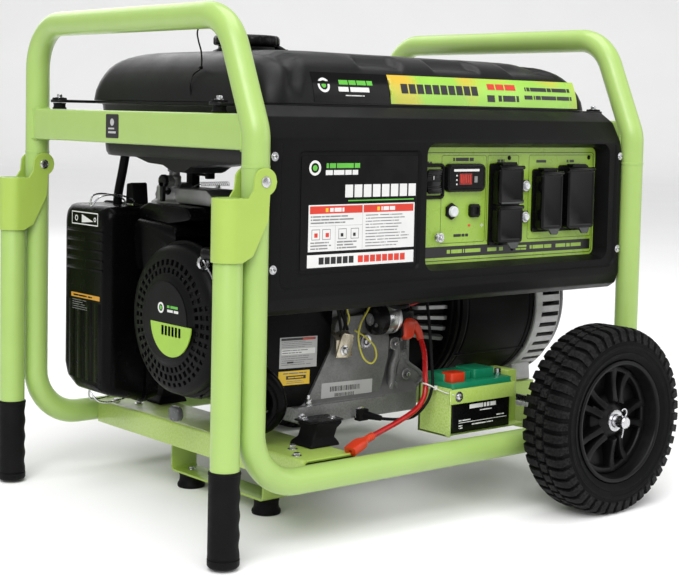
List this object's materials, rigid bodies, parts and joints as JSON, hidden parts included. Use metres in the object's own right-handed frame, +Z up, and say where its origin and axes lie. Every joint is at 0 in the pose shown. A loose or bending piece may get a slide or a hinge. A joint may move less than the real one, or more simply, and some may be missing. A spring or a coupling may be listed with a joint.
{
  "type": "portable generator",
  "caption": "Open-frame portable generator: round-tube frame, black tank, engine with alternator, control panel, two wheels and fold-down handles.",
  "frame": {"origin": "centre of the footprint at floor level", "axes": "+X towards the wheels, -Y is the side with the control panel, +Z up"},
  "size_m": [0.7214, 0.732, 0.64],
  "materials": {
    "lime_paint": "semi-gloss powder coat",
    "panel_lime": "satin",
    "cover_black": "fine-grained moulded plastic",
    "outlet_black": "semi-gloss",
    "rubber": "matte",
    "tyre": "matte with block tread",
    "rim_black": "satin moulded",
    "cast_aluminium": "rough cast",
    "steel": "plated",
    "starter_silver": "plated",
    "iron": "black painted",
    "muffler_steel": "heat dulled",
    "battery_black": "semi-gloss with green lid",
    "red_plastic": "satin vinyl",
    "cable_red": "vinyl",
    "cable_black": "vinyl"
  },
  "bodies": {
    "chassis": {"airbox_base": "cover_black", "airbox_cover": "cover_black", "alternator_adapter": "cast_aluminium", "alternator_crossmember": "lime_paint", "alternator_end_bell": "cast_aluminium", "axle": "steel", "battery": "battery_black", "battery_strap": "lime_paint", "battery_tray": "lime_paint", "black_cable": "cable_black", "blower_housing": "cover_black", "carburetor": "cast_aluminium", "control_panel": "panel_lime", "crankcase": "cast_aluminium", "cylinder_head": "cast_aluminium", "digital_meter": "outlet_black", "duplex_outlet": "outlet_black", "end_hoop_left": "lime_paint", "end_hoop_right": "lime_paint", "engine_crossmember": "lime_paint", "foot_front": "rubber", "foot_rear": "rubber", "frame_front": "lime_paint", "frame_rear": "lime_paint", "front_cover": "cover_black", "fuel_valve_body": "cast_aluminium", "muffler": "muffler_steel", "range_outlet": "outlet_black", "recoil_cover": "cover_black", "red_cable": "cable_red", "red_cable_boot": "red_plastic", "starter_motor": "starter_silver", "starter_solenoid": "red_plastic", "stator": "iron", "tank_lower": "cover_black", "tank_upper": "cover_black", "twist_lock_outlet": "outlet_black"},
    "wheel_front": {"tyre_front": "tyre", "rim_front": "rim_black"},
    "wheel_rear": {"tyre_rear": "tyre", "rim_rear": "rim_black"},
    "handle_front": {"handle_front": "lime_paint", "grip_front": "rubber"},
    "handle_rear": {"handle_rear": "lime_paint", "grip_rear": "rubber"},
    "cap_lift": {"filler_gasket": "rubber"},
    "fuel_cap": {"fuel_cap": "cover_black"},
    "engine_switch": {"engine_switch": "outlet_black"},
    "breaker_button_upper": {"breaker_button_upper": "steel"},
    "breaker_button_lower": {"breaker_button_lower": "steel"},
    "dc_breaker_button": {"dc_breaker_button": "steel"},
    "duplex_flap_upper": {"duplex_flap_upper": "outlet_black"},
    "duplex_flap_lower": {"duplex_flap_lower": "outlet_black"},
    "twist_lock_flap": {"twist_lock_flap": "outlet_black"},
    "range_flap": {"range_flap": "outlet_black"},
    "fuel_valve_lever": {"fuel_valve_lever": "cover_black"},
    "recoil_grip": {"recoil_grip": "cover_black"},
    "crank_train": {"crankshaft": "steel", "flywheel": "iron"}
  },
  "joints": [
    {"name": "wheel_front_spin", "type": "hinge", "parent": "chassis", "child": "wheel_front", "pos_m": [0.21175, -0.325, 0.1225], "axis": [0, 1, 0], "continuous": true},
    {"name": "wheel_rear_spin", "type": "hinge", "parent": "chassis", "child": "wheel_rear", "pos_m": [0.21175, 0.325, 0.1225], "axis": [0, 1, 0], "continuous": true},
    {"name": "handle_front_fold", "type": "hinge", "parent": "chassis", "child": "handle_front", "pos_m": [-0.30525, -0.25, 0.436], "axis": [0, 1, 0], "range_deg": [0, 90]},
    {"name": "handle_rear_fold", "type": "hinge", "parent": "chassis", "child": "handle_rear", "pos_m": [-0.30525, 0.25, 0.436], "axis": [0, 1, 0], "range_deg": [0, 90]},
    {"name": "cap_lift", "type": "slide", "parent": "chassis", "child": "cap_lift", "axis": [0, 0, 1], "range_m": [0, 0.06]},
    {"name": "cap_turn", "type": "hinge", "parent": "cap_lift", "child": "fuel_cap", "pos_m": [-0.13725, 0, 0.5973], "axis": [0, 0, 1], "range_deg": [0, 90]},
    {"name": "engine_switch_rock", "type": "hinge", "parent": "chassis", "child": "engine_switch", "pos_m": [-0.01125, -0.225, 0.431], "axis": [1, 0, 0], "range_deg": [-12, 12]},
    {"name": "breaker_button_upper_push", "type": "slide", "parent": "chassis", "child": "breaker_button_upper", "axis": [0, 1, 0], "range_m": [0, 0.003], "stiffness_N_per_m": 150},
    {"name": "breaker_button_lower_push", "type": "slide", "parent": "chassis", "child": "breaker_button_lower", "axis": [0, 1, 0], "range_m": [0, 0.003], "stiffness_N_per_m": 150},
    {"name": "dc_breaker_button_push", "type": "slide", "parent": "chassis", "child": "dc_breaker_button", "axis": [0, 1, 0], "range_m": [0, 0.003], "stiffness_N_per_m": 150},
    {"name": "duplex_flap_upper_lift", "type": "hinge", "parent": "chassis", "child": "duplex_flap_upper", "pos_m": [0.11425, -0.2431, 0.448], "axis": [1, 0, 0], "range_deg": [-100, 0]},
    {"name": "duplex_flap_lower_lift", "type": "hinge", "parent": "chassis", "child": "duplex_flap_lower", "pos_m": [0.11425, -0.2431, 0.3965], "axis": [1, 0, 0], "range_deg": [-100, 0]},
    {"name": "twist_lock_flap_lift", "type": "hinge", "parent": "chassis", "child": "twist_lock_flap", "pos_m": [0.193, -0.2431, 0.44], "axis": [1, 0, 0], "range_deg": [-100, 0]},
    {"name": "range_flap_lift", "type": "hinge", "parent": "chassis", "child": "range_flap", "pos_m": [0.25025, -0.2431, 0.445], "axis": [1, 0, 0], "range_deg": [-100, 0]},
    {"name": "fuel_valve_turn", "type": "hinge", "parent": "chassis", "child": "fuel_valve_lever", "pos_m": [-0.23455, 0.04, 0.421], "axis": [1, 0, 0], "range_deg": [0, 90]},
    {"name": "recoil_pull", "type": "slide", "parent": "chassis", "child": "recoil_grip", "axis": [-1, 0, 0], "range_m": [0, 0.3]},
    {"name": "crank_spin", "type": "hinge", "parent": "chassis", "child": "crank_train", "pos_m": [0.01975, -0.035, 0.252], "axis": [1, 0, 0], "continuous": true}
  ]
}
